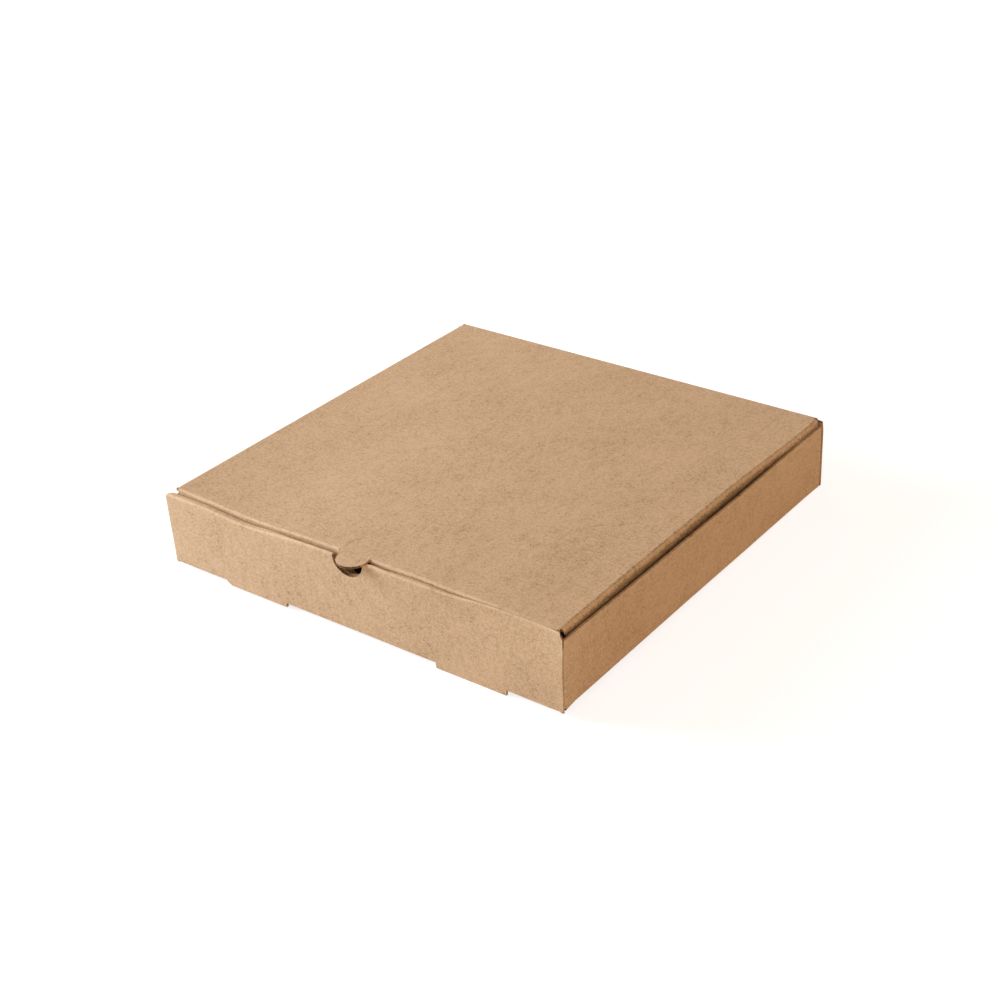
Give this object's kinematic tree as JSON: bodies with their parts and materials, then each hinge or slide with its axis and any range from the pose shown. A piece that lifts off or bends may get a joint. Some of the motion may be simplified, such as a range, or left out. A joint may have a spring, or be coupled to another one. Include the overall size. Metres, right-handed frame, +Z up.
{
  "type": "pizza box",
  "caption": "Folded corrugated pizza box with a double front wall, a thumb notch and a hinged lid that tucks inside.",
  "frame": {"origin": "middle of the bottom of the closed box's bounding box, level with the lower edges of the two tongues under the front wall", "axes": "+Z up, -Y towards the front wall with the thumb notch, +X to the right seen from the front"},
  "size_m": [0.305, 0.3128, 0.0552],
  "materials": {
    "kraft_board": "plain brown kraft liner, matt"
  },
  "bodies": {
    "tray": {"base_tray": "kraft_board"},
    "cover": {"lid": "kraft_board"}
  },
  "joints": [
    {"name": "lid_hinge", "type": "hinge", "parent": "tray", "child": "cover", "pos_m": [0, 0.1564, 0.0552], "axis": [-1, 0, 0], "range_deg": [0, 180]}
  ]
}
